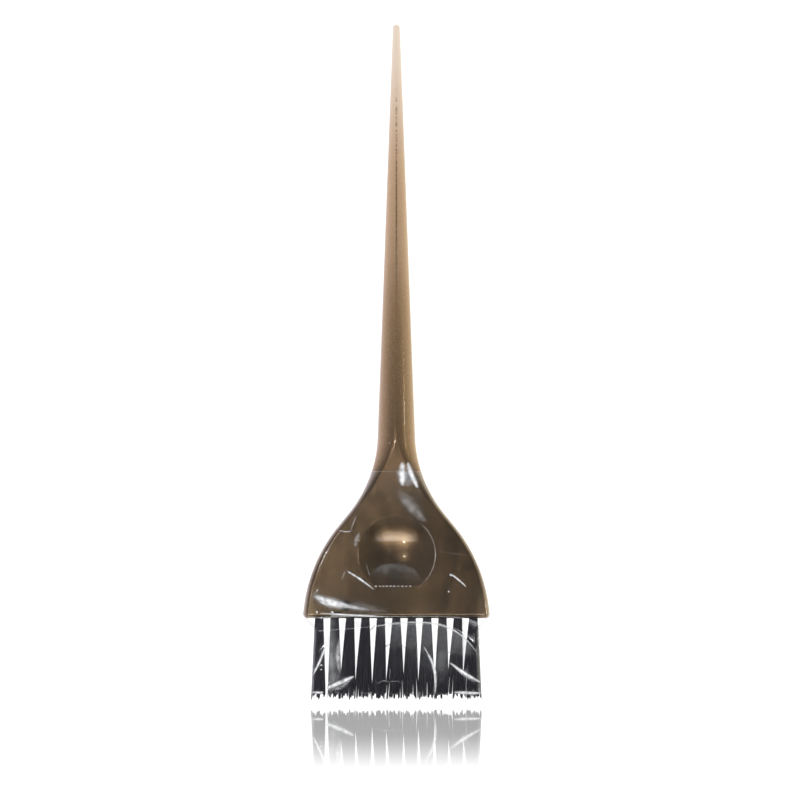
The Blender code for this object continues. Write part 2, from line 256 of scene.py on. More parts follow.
# The handle's colours
BRONZE_DARK = (0.25, 0.152, 0.071, 1.0)
BRONZE_LIGHT = (0.43, 0.275, 0.138, 1.0)
# painted shade, laid over the lower band, the underside and below the neck
BRONZE_PAINTED_SHADE = (0.105, 0.070, 0.038, 1.0)
# painted light: the neck's and tail's amber and the cream tip stand in for light shining through the thin
# plastic
NECK_AMBER = (0.50, 0.305, 0.155, 1.0)
TAIL_AMBER = (0.62, 0.40, 0.235, 1.0)
TIP_CREAM = (0.95, 0.79, 0.66, 1.0)
CORNER_AMBER = (0.78, 0.57, 0.36, 1.0)
LINE_BROWN = (0.16, 0.09, 0.05, 1.0)
# gold flakes of the pearl pigment, also a painted glint: random specks lightened over the whole handle
FLAKE_GOLD_AND_GLINT = (0.95, 0.80, 0.58, 1.0)

# Where the handle's look changes: from one height to another
UNDERSIDE = (0.0284, 0.0272)
# painted shade over the lower band, between these heights
LOWER_BAND = (0.041, 0.031)
CORNERS_UP = (0.046, 0.027)
CORNERS_OUT = (0.0235, 0.03)  # from the middle
# painted shade below the neck, between these heights
BELOW_NECK_FROM = (0.061, 0.068)
BELOW_NECK_TO = (0.08, 0.074)
# painted light through the thin plastic: paler from these heights up
PALER_FROM_NECK = (0.066, 0.0815)
PALER_UP_TAIL = (0.118, 0.15)
PALEST_AT_TIP = (0.164, 0.221)
METAL_AT_NECK = (0.056, 0.1)
METAL_UP_TAIL = (0.084, 0.205)
GRAIN_FROM_NECK = (0.06, 0.075)

# The dark line inside the tail
LINE_HALF_WIDTH = (0.00042, 0.0001)  # where it begins to show, and where it is darkest
LINE_DARKENS = (0.118, 0.16)
LINE_BREAKS_UP = (0.185, 0.16)
LINE_ENDS = (0.2, 0.19)

# The handle's surface: heights of its bumps
FLAKE_BUMP = 0.004 * MM
FLAKE_COAT_BUMP = 0.012 * MM
SLOW_BUMP = 0.02 * MM
SLOW_COAT_BUMP = 0.01 * MM

# The studio
SENSOR_WIDTH = 36.0
LENS = 138.7
CAMERA_PLACE = (1.17 * MM, -1.0, 97.0 * MM)  # level, a metre away
WHITE = (1.0, 1.0, 1.0, 1.0)
BACKDROP = 1.35  # the backdrop's and the floor's brightness: over white
TENT_REAR = (0.75, 0.92)  # directions with this much of +Y are behind the brush
FLOOR_HALF_SIZE = 0.6
FLOOR_DROP = 1.8 * MM  # below the bristles' tips
FLOOR_GLOSS = 1.27  # over a bare pane's
FLOOR_GLOSS_REACH = (0.08, 0.24)  # from the brush's foot: where the gloss begins to fade, and its end
FLOOR_GLOSS_FRONT = (0.03, 0.01)  # its rear edge
FLOOR_GLOSS_SIDES = (0.046, 0.034)
CARD_LEVEL = 3.4
CARD_PLACE = (0.0, -0.5, -0.118)
CARD_HALF_WIDTH = 0.22
CARD_TOP = 0.04  # from the card's place, as the next three
CARD_BOTTOM = -0.10
CARD_FADE_OUT = (0.05, 0.20)
CARD_FADE_DOWN = (0.035, -0.06)
HEAD_MIDDLE = (0.0, 0.0, 0.05)
RIGHT_AZIMUTH = math.radians(52)
RIGHT_DISTANCE = 0.7
RIGHT = (RIGHT_DISTANCE * math.sin(RIGHT_AZIMUTH), -RIGHT_DISTANCE * math.cos(RIGHT_AZIMUTH))

# Name, place, what it points at, diameter and radiance. The first two make the two dots in the dish.
LAMPS = (
    ("lamp_front", (-0.119, -1.0, 0.035), HEAD_MIDDLE, 0.016, 85.0),
    ("lamp_low", (-0.119, -1.0, -0.190), HEAD_MIDDLE, 0.017, 130.0),
    ("lamp_side", (*RIGHT, 0.137), (0.0, 0.0, 0.087), 0.022, 10.0),
    ("lamp_right", (*RIGHT, 0.010), HEAD_MIDDLE, 0.12, 2.2),
)


def smooth_step(value, low, high):
    share = min(max((value - low) / (high - low), 0.0), 1.0)
    return share * share * (3 - 2 * share)


def blend(low, high, share):
    return low + (high - low) * share


def soft_min(one, other, width):
    near = max(width - abs(one - other), 0.0) / width
    return min(one, other) - near * near * width / 4


def soft_max(one, other, width):
    return -soft_min(-one, -other, width)


# Objects and materials


def object_from(bm, name, finish):
    """An object with the bmesh as its mesh. Frees the bmesh."""
    mesh = bpy.data.meshes.new(name)
    bm.to_mesh(mesh)
    bm.free()
    return shaded(mesh, name, finish)


def smooth(mesh, sharp_degrees=SHARP_DEGREES):
    mesh.shade_smooth()
    mesh.set_sharp_from_angle(angle=math.radians(sharp_degrees))


def shaded(mesh, name, finish, sharp_degrees=SHARP_DEGREES):
    smooth(mesh, sharp_degrees)
    if finish:
        mesh.materials.append(finish)
    made = bpy.data.objects.new(name, mesh)
    bpy.context.scene.collection.objects.link(made)
    return made


def object_of(verts, faces, name, finish, sharp_degrees):
    mesh = bpy.data.meshes.new(name)
    mesh.from_pydata(verts, [], faces)
    return shaded(mesh, name, finish, sharp_degrees)


class Graph:
    """A material's or world's node tree, built with short calls."""

    def __init__(self, owner):
        owner.use_nodes = True
        self.owner = owner
        self.tree = owner.node_tree
        self.tree.nodes.clear()

    def node(self, kind, inputs=None, **settings):
        made = self.tree.nodes.new(kind)
        for key, value in settings.items():
            setattr(made, key, value)
        for key, value in (inputs or {}).items():
            self.feed(made.inputs[key], value)
        return made

    def feed(self, socket, value):
        if isinstance(value, bpy.types.NodeSocket):
            self.tree.links.new(value, socket)
        else:
            socket.default_value = value

    def math(self, operation, one, other=0.0):
        made = self.node("ShaderNodeMath", {0: one, 1: other}, operation=operation)
        return made.outputs[0]

    def times(self, one, other):
        return self.math("MULTIPLY", one, other)

    def ramp(self, value, low, high, to_low=0.0, to_high=1.0, smooth=True):
        """From to_low to to_high as the value goes from low to high."""
        inputs = {"Value": value, "From Min": low, "From Max": high, "To Min": to_low, "To Max": to_high}
        kind = "SMOOTHSTEP" if smooth else "LINEAR"
        made = self.node("ShaderNodeMapRange", inputs, interpolation_type=kind)
        return made.outputs["Result"]

    def mix(self, share, one, other):
        made = self.node("ShaderNodeMix", {0: share, 6: one, 7: other}, data_type="RGBA")
        return made.outputs[2]

    def noise(self, vector, scale, detail=3.0, distortion=0.0):
        inputs = {"Vector": vector, "Scale": scale, "Detail": detail, "Distortion": distortion}
        return self.node("ShaderNodeTexNoise", inputs).outputs[0]

    def scaled(self, vector, factors):
        made = self.node("ShaderNodeVectorMath", {0: vector, 1: factors}, operation="MULTIPLY")
        return made.outputs[0]

    def object_place(self):
        return self.node("ShaderNodeTexCoord").outputs["Object"]

    def finish(self, shader):
        out = self.node("ShaderNodeOutputMaterial")
        self.tree.links.new(shader, out.inputs["Surface"])
        return self.owner

    def principled(self, inputs):
        return self.finish(self.node("ShaderNodeBsdfPrincipled", inputs).outputs[0])


def new_material(name):
    return Graph(bpy.data.materials.new(name))


def pearl_bronze():
    """Moulded plastic full of bronze pearl pigment: glossy, with fine flakes, and with painted light that
    makes it paler where it is thin.
    """
    g = new_material("pearl_bronze")
    place = g.object_place()
    axes = g.node("ShaderNodeSeparateXYZ", {0: place}).outputs
    flow = g.noise(g.scaled(place, (1.0, 1.0, 0.35)), 90.0, detail=4.0, distortion=1.2)
    flakes = g.node("ShaderNodeTexVoronoi", {"Vector": place, "Scale": 3600.0})
    glint = g.node("ShaderNodeSeparateColor", {0: flakes.outputs["Color"]}).outputs[0]
    aside, up = g.math("ABSOLUTE", axes["X"]), axes["Z"]
    under = g.ramp(up, *UNDERSIDE)
    edge = turned_edge(g, under)
    colour = bronze_colour(g, aside, up, flow, under, edge)
    colour = g.mix(tail_line(g, place, aside, up), colour, LINE_BROWN)
    # gold pigment flakes and a painted glint: random specks lightened to gold
    colour = g.mix(g.ramp(glint, 0.5, 1.0, 0.0, 0.16), colour, FLAKE_GOLD_AND_GLINT)
    normal, coat_normal = bronze_normals(g, place, up, glint)
    inputs = {
        "Base Color": colour,
        "Metallic": bronze_metal(g, up, edge),
        "Roughness": g.ramp(flow, 0.2, 0.8, 0.17, 0.24),
        "Normal": normal,
        "Coat Weight": 1.0,
        "Coat Roughness": 0.02,
        "Coat IOR": 1.7,
        "Coat Normal": coat_normal,
    }
    return g.principled(inputs)


def turned_edge(g, under):
    """One where the surface turns away from front and rear, but not on the underside."""
    normal = g.node("ShaderNodeNewGeometry").outputs["Normal"]
    facing = g.math("ABSOLUTE", g.node("ShaderNodeSeparateXYZ", {0: normal}).outputs["Y"])
    return g.times(g.ramp(facing, 0.92, 0.35), g.ramp(under, 0.0, 1.0, 1.0, 0.0))


def bronze_colour(g, aside, up, flow, under, edge):
    """Bronze on the head, with painted light: paler up the tail and at the turned edges, where light gets
    through the thin plastic. It is also lighter amber towards the head's lower corners.
    """
    body = g.mix(g.ramp(flow, 0.3, 0.7), BRONZE_DARK, BRONZE_LIGHT)
    amber = g.mix(g.ramp(up, *PALER_UP_TAIL), NECK_AMBER, TAIL_AMBER)
    painted_shine_through = g.mix(g.ramp(up, *PALEST_AT_TIP), amber, TIP_CREAM)
    # painted shade over the lower band, the underside and below the neck
    body = g.mix(bronze_painted_shade(g, up, under), body, BRONZE_PAINTED_SHADE)
    # painted light at the turned edges and from the neck up
    colour = g.mix(g.math("MAXIMUM", g.ramp(up, *PALER_FROM_NECK), edge), body, painted_shine_through)
    corner = g.times(g.ramp(aside, *CORNERS_OUT), g.ramp(up, *CORNERS_UP))
    return g.mix(g.ramp(corner, 0.0, 1.0, 0.0, 0.75), colour, CORNER_AMBER)


def bronze_painted_shade(g, up, under):
    """Painted shade: how dark it is over the lower band, on the underside and below the neck."""
    low = g.math("MAXIMUM", g.ramp(up, *LOWER_BAND, 0.0, 0.34), g.ramp(under, 0.0, 1.0, 0.0, 0.78))
    neck = g.times(g.ramp(up, *BELOW_NECK_FROM, 0.0, 0.5), g.ramp(up, *BELOW_NECK_TO))
    return g.math("MAXIMUM", low, neck)


def tail_line(g, place, aside, up):
    """A thin dark line inside the tail, broken up towards its end."""
    beads = g.noise(g.scaled(place, (0.0, 0.0, 1.0)), 620.0, detail=2.0)
    beads = g.math("ADD", g.ramp(beads, 0.42, 0.60), g.ramp(up, *LINE_BREAKS_UP))
    line = g.times(g.ramp(aside, *LINE_HALF_WIDTH), g.math("MINIMUM", beads, 1.0))
    line = g.times(line, g.ramp(up, *LINE_DARKENS, 0.15, 0.8))
    return g.times(line, g.ramp(up, *LINE_ENDS))


def bronze_metal(g, up, edge):
    """How metallic it is: less from the neck up, and a little less at its turned edges."""
    neck = g.ramp(up, *METAL_AT_NECK, 0.97, 0.80)
    metal = g.times(neck, g.ramp(up, *METAL_UP_TAIL, 1.0, 0.08))
    return g.times(metal, g.ramp(edge, 0.0, 1.0, 1.0, 0.85))


def bronze_normals(g, place, up, glint):
    """The pigment's uneven surface, and the coat's over it, which is grainy from the neck up."""
    flakes = g.node("ShaderNodeBump", {"Height": glint, "Distance": FLAKE_BUMP, "Strength": 0.5})
    slow = g.noise(place, 160.0)
    inputs = {"Height": slow, "Distance": SLOW_BUMP, "Normal": flakes.outputs[0]}
    normal = g.node("ShaderNodeBump", inputs).outputs[0]
    coat = g.node("ShaderNodeBump", {"Height": slow, "Distance": SLOW_COAT_BUMP})
    grain = {"Height": glint, "Distance": FLAKE_COAT_BUMP, "Normal": coat.outputs[0]}
    grain["Strength"] = g.ramp(up, *GRAIN_FROM_NECK)
    return normal, g.node("ShaderNodeBump", grain).outputs[0]


def clear_film():
    """Thin clear film: its gloss, stronger where it turns away, and its haze, which is partly painted sheen.
    """
    g = new_material("clear_film")
    place = g.object_place()
    haze_and_sheen = g.noise(g.scaled(place, (1.0, 1.0, 1.6)), 120.0, detail=3.0, distortion=0.8)
    shine = g.node("ShaderNodeFresnel", {"IOR": 1.5}).outputs[0]
    # painted sheen: the haze attribute lays white highlights and grey reflections onto the film where they
    # are listed
    haze_and_painted_sheen = g.node("ShaderNodeAttribute", attribute_name="haze_and_sheen").outputs["Fac"]
    haze_and_painted_sheen = g.times(haze_and_painted_sheen, g.ramp(haze_and_sheen, 0.3, 0.7, 0.6, 1.4))
    alpha = g.math("ADD", g.math("MINIMUM", shine, 0.30), haze_and_painted_sheen)
    inputs = {
        "Base Color": (0.95, 0.97, 1.0, 1.0),
        "Metallic": g.ramp(haze_and_painted_sheen, 0.0, 0.05, 1.0, 0.25),
        "Roughness": g.ramp(haze_and_sheen, 0.3, 0.7, 0.05, 0.10),
        "Alpha": alpha,
    }
    return g.principled(inputs)


def film_fold_glints():
    """Painted glints on the film's crests: white strips laid on over the folds."""
    g = new_material("film_fold_glints")
    place = g.object_place()
    white = g.node("ShaderNodeAttribute", attribute_name="painted_glint").outputs["Fac"]
    broken = g.noise(place, 700.0, detail=2.0)
    white = g.times(white, g.ramp(broken, 0.25, 0.65, 0.6, 1.3))
    inputs = {
        "Base Color": (0.97, 0.98, 1.0, 1.0),
        "Roughness": g.ramp(broken, 0.3, 0.7, 0.18, 0.30),
        "Alpha": g.ramp(white, 0.0, 1.0, 0.0, 1.0, smooth=False),
    }
    return g.principled(inputs)


def black_nylon():
    g = new_material("black_nylon")
    place = g.object_place()
    along = g.noise(g.scaled(place, (1.0, 1.0, 0.08)), 2400.0, detail=2.0)
    colour = g.mix(along, (0.015, 0.014, 0.021, 1.0), (0.072, 0.066, 0.090, 1.0))
    inputs = {
        "Base Color": colour,
        "Roughness": g.ramp(along, 0.2, 0.8, 0.3, 0.5),
        "Specular IOR Level": 0.6,
    }
    return g.principled(inputs)


def anchor_brass():
    g = new_material("anchor_brass")
    place = g.object_place()
    drawn = g.noise(g.scaled(place, (0.1, 1.0, 1.0)), 9000.0, detail=3.0)
    colour = g.mix(drawn, (0.62, 0.48, 0.24, 1.0), (0.82, 0.68, 0.38, 1.0))
    inputs = {"Base Color": colour, "Metallic": 1.0, "Roughness": g.ramp(drawn, 0.2, 0.8, 0.22, 0.42)}
    return g.principled(inputs)


# The handle


def lean_arc(start, radius, lean_from, lean_to):
    """(half width, height) points on an arc whose lean goes from one angle to the other."""
    width, height = start
    turn = math.copysign(radius, lean_to - lean_from)
    steps = math.ceil(abs(lean_to - lean_from) / ARC_STEP)
    points = []
    for i in range(1, steps + 1):
        lean = blend(lean_from, lean_to, i / steps)
        inwards = turn * (math.cos(lean_from) - math.cos(lean))
        upwards = turn * (math.sin(lean) - math.sin(lean_from))
        points.append((width - inwards, height + upwards))
    return points


def line_up(start, lean, rise, steps):
    width, height = start
    taper = math.tan(lean)
    return [(width - rise * taper * i / steps, height + rise * i / steps) for i in range(1, steps + 1)]


def edge_points():
    """(half width, height) up the handle's edge, from the head's lower corner to the tail's round end."""
    points = [(HEAD_HALF_WIDTH, HEAD_BOTTOM + LOWER_EDGE_RADIUS)]
    points += lean_arc(points[-1], SHOULDER_RADIUS, SIDE_LEAN, SLOPE_LEAN)
    points += line_up(points[-1], SLOPE_LEAN, SLOPE_LENGTH * math.cos(SLOPE_LEAN), SLOPE_STEPS)
    points += lean_arc(points[-1], FLARE_RADIUS, SLOPE_LEAN, TAIL_LEAN)
    width, height = points[-1]
    taper = math.tan(TAIL_LEAN)
    tip_radius = (width - (TAIL_END - height) * taper) / (1 - taper)
    points += line_up(points[-1], TAIL_LEAN, TAIL_END - tip_radius - height, TAIL_RINGS)
    return points


EDGE = edge_points()


def half_width_at(height):
    return float(np.interp(height, [point[1] for point in EDGE], [point[0] for point in EDGE]))


def section_at(height):
    """(half width, half thickness, corner radius) of the handle's section."""
    half_width = half_width_at(height)
    if height >= BAR_BOTTOM:
        return half_width, half_width, half_width
    bar = smooth_step(height, SLAB_TOP, BAR_BOTTOM)
    half_thickness = blend(HEAD_HALF_THICKNESS, half_width_at(BAR_BOTTOM), bar)
    return half_width, half_thickness, blend(HEAD_EDGE_RADIUS, half_thickness, bar)


def rounded_ring(section, height):
    """A rounded rectangle's points. Two points near each straight side's ends keep it flat."""
    half_width, half_thickness, radius = section
    inner = Vector((half_width - radius, half_thickness - radius))
    ring = []
    for quarter, signs in enumerate(((1, 1), (-1, 1), (-1, -1), (1, -1))):
        middle = Vector((signs[0] * inner.x, signs[1] * inner.y))
        for i in range(CORNER_STEPS + 1):
            angle = math.pi / 2 * (quarter + i / CORNER_STEPS)
            ring.append((middle.x + radius * math.cos(angle), middle.y + radius * math.sin(angle), height))
        ring += side_supports(ring[-1], quarter, 2 * (inner.x if quarter % 2 == 0 else inner.y))
    return ring


def side_supports(start, quarter, length):
    """Two points on the straight side that follows this corner."""
    inset = min(SUPPORT_INSET, SUPPORT_SHARE * length)
    direction = ((-1, 0), (0, -1), (1, 0), (0, 1))[quarter]
    places = (inset, length - inset)
    return [(start[0] + direction[0] * s, start[1] + direction[1] * s, start[2]) for s in places]


REAR_SUPPORT = CORNER_STEPS + 1  # a ring's index of the rear face's first support point
FRONT_SUPPORT = REAR_SUPPORT + 2 * (CORNER_STEPS + 3)


def foot_rings():
    _, half_thickness, radius = section_at(HEAD_BOTTOM)
    rings = []
    for i in range(CORNER_STEPS):
        angle = math.pi / 2 * i / CORNER_STEPS
        inset = LOWER_EDGE_RADIUS * (1 - math.sin(angle))
        height = HEAD_BOTTOM + LOWER_EDGE_RADIUS * (1 - math.cos(angle))
        section = (HEAD_HALF_WIDTH - inset, half_thickness - inset, radius - inset)
        rings.append(rounded_ring(section, height))
    return rings


def tip_rings():
    tip_radius, dome_base = EDGE[-1]
    rings = []
    for i in range(1, TIP_RINGS):
        angle = math.pi / 2 * i / TIP_RINGS
        radius = tip_radius * math.cos(angle)
        rings.append(rounded_ring((radius, radius, radius), dome_base + tip_radius * math.sin(angle)))
    return rings


def ring_loop(bm, ring):
    return [bm.verts.new(point) for point in ring]


def bridge(bm, one, other, skip=()):
    """Faces between two loops of points, but for the places in skip."""
    count = len(one)
    for i in range(count):
        if i not in skip:
            j = (i + 1) % count
            bm.faces.new((one[i], one[j], other[j], other[i]))


def face_edges(bm, side):
    """The open edges in the plane of the flat face on that side."""
    plane = HEAD_HALF_THICKNESS - FACE_MARGIN
    return [e for e in bm.edges if e.is_boundary and (e.verts[0].co + e.verts[1].co).y / 2 * side > plane]


def dish_rim():
    """(x, z) points of a dish's D-shaped rim, from its middle: the arc, then the straight foot."""
    foot = DISH_FOOT - DISH_HEIGHT
    corner = math.asin(foot / DISH_RADIUS)
    points = []
    for i in range(DISH_ARC_STEPS + 1):
        angle = corner + (math.pi - 2 * corner) * i / DISH_ARC_STEPS
        points.append((DISH_RADIUS * math.cos(angle), DISH_RADIUS * math.sin(angle)))
    left = points[-1][0]
    for i in range(1, DISH_CHORD_STEPS):
        points.append((blend(left, -left, i / DISH_CHORD_STEPS), foot))
    return points


def dish_depth(x, z):
    """How deep the dish is at a point from its middle. Below zero it is the lip."""
    sphere = (DISH_RADIUS**2 + DISH_DEPTH**2) / (2 * DISH_DEPTH)
    bowl = DISH_DEPTH - sphere + math.sqrt(sphere**2 - x * x - z * z)
    wall = (z - DISH_FOOT + DISH_HEIGHT) * DISH_WALL_SLOPE
    inside = soft_min(bowl, wall, DISH_SOFTNESS)
    lip_place = (math.hypot(x, z) - DISH_RADIUS - DISH_LIP_PLACE) / DISH_LIP_WIDTH
    lip = DISH_LIP * math.exp(-lip_place * lip_place)
    if z < DISH_FOOT - DISH_HEIGHT:
        lip = 0.0
    return soft_max(0.0, inside, DISH_SOFTNESS) - lip


def dish_scales(reach):
    """Shares of the way out to the rim, finer near it."""
    near = RIM_REACH / reach
    inner = [(1 - near) * i / DISH_RINGS for i in range(1, DISH_RINGS)]
    outer = [1 - near + 2 * near * i / RIM_RINGS for i in range(RIM_RINGS + 1)]
    return inner + outer


def dish_rings(side):
    """Rings of points from near the dish's middle to just outside its rim. Side is -1 at the front."""
    rim = dish_rim()
    scales = [dish_scales(math.hypot(x, z)) for x, z in rim]
    count = DISH_RINGS + RIM_RINGS
    rings = []
    for i in range(count):
        ring = []
        for (x, z), shares in zip(rim, scales):
            px, pz = x * shares[i], z * shares[i]
            depth = 0.0 if i >= count - 2 else dish_depth(px, pz)
            ring.append((px, side * (HEAD_HALF_THICKNESS - depth), DISH_HEIGHT + pz))
        rings.append(ring)
    return rings


def add_dish(bm, side):
    rings = dish_rings(side)
    middle = bm.verts.new((0.0, side * (HEAD_HALF_THICKNESS - DISH_DEPTH), DISH_HEIGHT))
    loops = [ring_loop(bm, ring) for ring in rings]
    for one, next_one in zip(loops[0], loops[0][1:] + loops[0][:1]):
        bm.faces.new((middle, one, next_one))
    for inner, outer in zip(loops, loops[1:]):
        bridge(bm, inner, outer)


def hole_cutter():
    """Cylinders in the tufts' places, which reach out below the head."""
    depth = TUFT_DEPTH + 2 * HOLE_RADIUS
    bm = bmesh.new()
    for _, x, y in tuft_places():
        middle = Vector((x, y, HEAD_BOTTOM + TUFT_DEPTH + HOLE_SPARE - depth / 2))
        sizes = {"radius1": HOLE_RADIUS, "radius2": HOLE_RADIUS, "depth": depth}
        made = bmesh.ops.create_cone(bm, cap_ends=True, segments=HOLE_SEGMENTS, **sizes)
        bmesh.ops.translate(bm, verts=made["verts"], vec=middle)
    return object_from(bm, "hole_cutter", None)


def cut_away(obj, cutter):
    """Takes the cutter out of the object's mesh, and removes the cutter."""
    modifier = obj.modifiers.new("cut", "BOOLEAN")
    modifier.operation = "DIFFERENCE"
    modifier.solver = "EXACT"
    modifier.object = cutter
    graph = bpy.context.evaluated_depsgraph_get()
    mesh = bpy.data.meshes.new_from_object(obj.evaluated_get(graph))
    obj.modifiers.clear()
    obj.data = mesh
    bpy.data.objects.remove(cutter)


def add_moulding(bm):
    """The handle's skin, open where its two flat faces are."""
    heights = sorted([height for _, height in EDGE] + [FLAT_LOW, FLAT_HIGH, SLAB_TOP])
    middle = [rounded_ring(section_at(height), height) for height in heights]
    rings = foot_rings() + middle + tip_rings()
    loops = [ring_loop(bm, ring) for ring in rings]
    flat = {FRONT_SUPPORT, REAR_SUPPORT}
    for low, high in zip(loops, loops[1:]):
        middle_height = (low[0].co.z + high[0].co.z) / 2
        bridge(bm, low, high, flat if FLAT_LOW < middle_height < FLAT_HIGH else ())
    bm.faces.new(loops[0])
    bm.faces.new(loops[-1])
    bmesh.ops.remove_doubles(bm, verts=bm.verts, dist=TOUCHING)


def make_handle():
    bm = bmesh.new()
    add_moulding(bm)
    for side in (-1, 1):
        add_dish(bm, side)
        bmesh.ops.triangle_fill(bm, edges=face_edges(bm, side), normal=(0.0, side, 0.0))
    bmesh.ops.recalc_face_normals(bm, faces=bm.faces)
    made = object_from(bm, "handle_moulding", pearl_bronze())
    cut_away(made, hole_cutter())
    smooth(made.data)
    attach(made, "root")
    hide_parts("handle")


# The tufts


def tuft_places():
    """(name, x, y) of each tuft at its root."""
    places = []
    for row, y in ROW_Y.items():
        for i in range(TUFTS_IN_ROW):
            places.append((f"{row}_{i + 1:02d}", (i - (TUFTS_IN_ROW - 1) / 2) * TUFT_PITCH, y))
    return places


def half_disc(count, dice):
    """Points spread evenly over a half disc of radius one, on its lower side."""
    golden = math.pi * (3 - math.sqrt(5))
    index = np.arange(2 * count) + 0.5
    radius = np.sqrt(index / (2 * count))
    angle = index * golden
    points = np.stack([radius * np.cos(angle), radius * np.sin(angle)], axis=1)
    points = points[points[:, 1] < 0][:count]
    return points + dice.normal(0.0, ROOT_SCATTER, points.shape)


def tuft_reach(column):
    """On each side of a tuft, where its bristles end up: x, and the share of the way down to there."""
    ends = [(x * MM, 1 - z * MM / HEAD_BOTTOM) for x, z in GAP_ENDS]
    ends = [(-TIPS_REACH, 1.0), *ends, (TIPS_REACH, 1.0)]
    (left, left_share), (right, right_share) = ends[column : column + 2]
    return (left - TIP_OVERLAP, right + TIP_OVERLAP), (left_share, right_share)


def tip_clumps(column, reach):
    """The clumps that both rows' bristles in one column end in: where they are, and how much shorter."""
    dice = np.random.default_rng(SEED + 300 + column)
    places = np.linspace(*reach, CLUMPS) + dice.normal(0.0, CLUMP_SCATTER, CLUMPS)
    cut = dice.random(CLUMPS) ** CLUMP_CUT_POWER * TIP_RAGGED
    return places, cut - cut.min()


def own_clumps(across, dice):
    """Which clump each filament ends in, from left to right as its root is."""
    sides = (-ROOT_SIDE, ROOT_SIDE)
    mine = np.round(np.interp(across, sides, (0, CLUMPS - 1)) + dice.normal(0.0, CLUMP_STRAYING, len(across)))
    return np.clip(mine, 0, CLUMPS - 1).astype(int)


def legs(roots, x, y, column, dice):
    """Paths of the filaments' legs, from the root down to the tip: an array of strand, ring, axis."""
    count = len(roots)
    reach, shares = tuft_reach(column)
    sides = (-ROOT_SIDE, ROOT_SIDE)
    tips = np.stack([np.interp(roots[:, 0], sides, reach) - x, roots[:, 1] * TIP_DEPTH_SCALE], axis=1)
    meeting = np.interp(roots[:, 0], sides, shares)
    clumps, cut = tip_clumps(column, reach)
    mine = own_clumps(roots[:, 0], dice)
    tips[:, 0] = blend(tips[:, 0], clumps[mine] - x, CLUMP_PULL + CLUMP_PULL_SPREAD * dice.random(count))
    tips += dice.normal(0.0, TIP_SCATTER, (count, 2))
    height = cut[mine] + np.abs(dice.normal(0.0, TIP_UNEVEN, count)) * TIP_RAGGED
    bow = dice.normal(0.0, LEG_BOW, (count, 2))
    paths = np.zeros((count, LEG_RINGS, 3))
    for i in range(LEG_RINGS):
        share = (i + 1) / LEG_RINGS
        lean = np.minimum(share / meeting, 1.0)[:, None]
        place = blend(roots, tips, lean) + bow * math.sin(math.pi * share)
        paths[:, i, 0] = x + place[:, 0]
        paths[:, i, 1] = y + place[:, 1]
        paths[:, i, 2] = HEAD_BOTTOM + (height - HEAD_BOTTOM) * share
    return paths


def level_points(x, y, places, height):
    return np.stack([x + places[:, 0], y + places[:, 1], np.full(len(places), height)], axis=1)


def folded_paths(x, y, column, dice):
    """Each filament's path: up from one tip, over the anchor and down to its other tip."""
    spread = half_disc(STRANDS, dice) * (TUFT_RADIUS - STRAND_RADIUS)
    spread[:, 1] = np.minimum(spread[:, 1], -ANCHOR_GAP)
    spread *= np.minimum(1.0, TUFT_RADIUS / np.linalg.norm(spread, axis=1))[:, None]
    other = spread * (1, -1)
    one_leg = legs(spread, x, y, column, dice)[:, ::-1]
    other_leg = legs(other, x, y, column, dice)
    fold_foot = HEAD_BOTTOM + FOLD_LOW
    rows = [level_points(x, y, spread, height) for height in (HEAD_BOTTOM, fold_foot)]
    for i in range(1, FOLD_RINGS + 1):
        angle = math.pi * i / (FOLD_RINGS + 1)
        rise = -spread[:, 1] * math.sin(angle) * FOLD_RISE
        over = (x + spread[:, 0], y + spread[:, 1] * math.cos(angle), fold_foot + rise)
        rows.append(np.stack(over, axis=1))
    rows += [level_points(x, y, other, height) for height in (fold_foot, HEAD_BOTTOM)]
    return np.concatenate([one_leg, np.stack(rows, axis=1), other_leg], axis=1)


def tubes(paths, radii):
    """Vertices and faces of one closed tube along each path."""
    count, rings, _ = paths.shape
    along = np.gradient(paths, axis=1)
    along /= np.linalg.norm(along, axis=2, keepdims=True)
    across = np.zeros_like(paths)
    across[:, :, 0] = 1.0
    across -= along * np.sum(across * along, axis=2, keepdims=True)
    across /= np.linalg.norm(across, axis=2, keepdims=True)
    up = np.cross(along, across)
    angles = 2 * math.pi * np.arange(STRAND_SIDES) / STRAND_SIDES
    round_x = np.cos(angles)[None, None, :, None] * across[:, :, None, :]
    round_y = np.sin(angles)[None, None, :, None] * up[:, :, None, :]
    verts = paths[:, :, None, :] + radii[None, :, None, None] * (round_x + round_y)
    return verts.reshape(-1, 3), tube_faces(count, rings)


def grid_faces(base, rows, columns, closed=True):
    """Faces over rows of points. If closed, each row's last point is joined to its first."""
    faces = []
    for row in range(rows - 1):
        low = base + row * columns
        for i in range(columns if closed else columns - 1):
            j = (i + 1) % columns
            faces.append((low + i, low + j, low + columns + j, low + columns + i))
    return faces


def tube_faces(count, rings):
    faces = []
    for strand in range(count):
        base = strand * rings * STRAND_SIDES
        last = base + (rings - 1) * STRAND_SIDES
        faces += grid_faces(base, rings, STRAND_SIDES)
        faces.append(tuple(base + i for i in reversed(range(STRAND_SIDES))))
        faces.append(tuple(last + i for i in range(STRAND_SIDES)))
    return faces


def make_tufts():
    nylon = black_nylon()
    rings = 2 * LEG_RINGS + 4 + FOLD_RINGS
    radii = np.full(rings, STRAND_RADIUS)
    radii[0] = radii[-1] = STRAND_TIP_RADIUS
    for number, (place, x, y) in enumerate(tuft_places()):
        dice = np.random.default_rng(SEED + number)
        verts, faces = tubes(folded_paths(x, y, number % TUFTS_IN_ROW, dice), radii)
        made = object_of(verts.tolist(), faces, "bristles_" + place, nylon, STRAND_SHARP_DEGREES)
        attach(made, "root")
        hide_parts("tuft_" + place)


def finish_anchors():
    brass = anchor_brass()
    for name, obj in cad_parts.items():
        if name.startswith("anchor_"):
            for place in obj.material_slots:
                place.material = brass


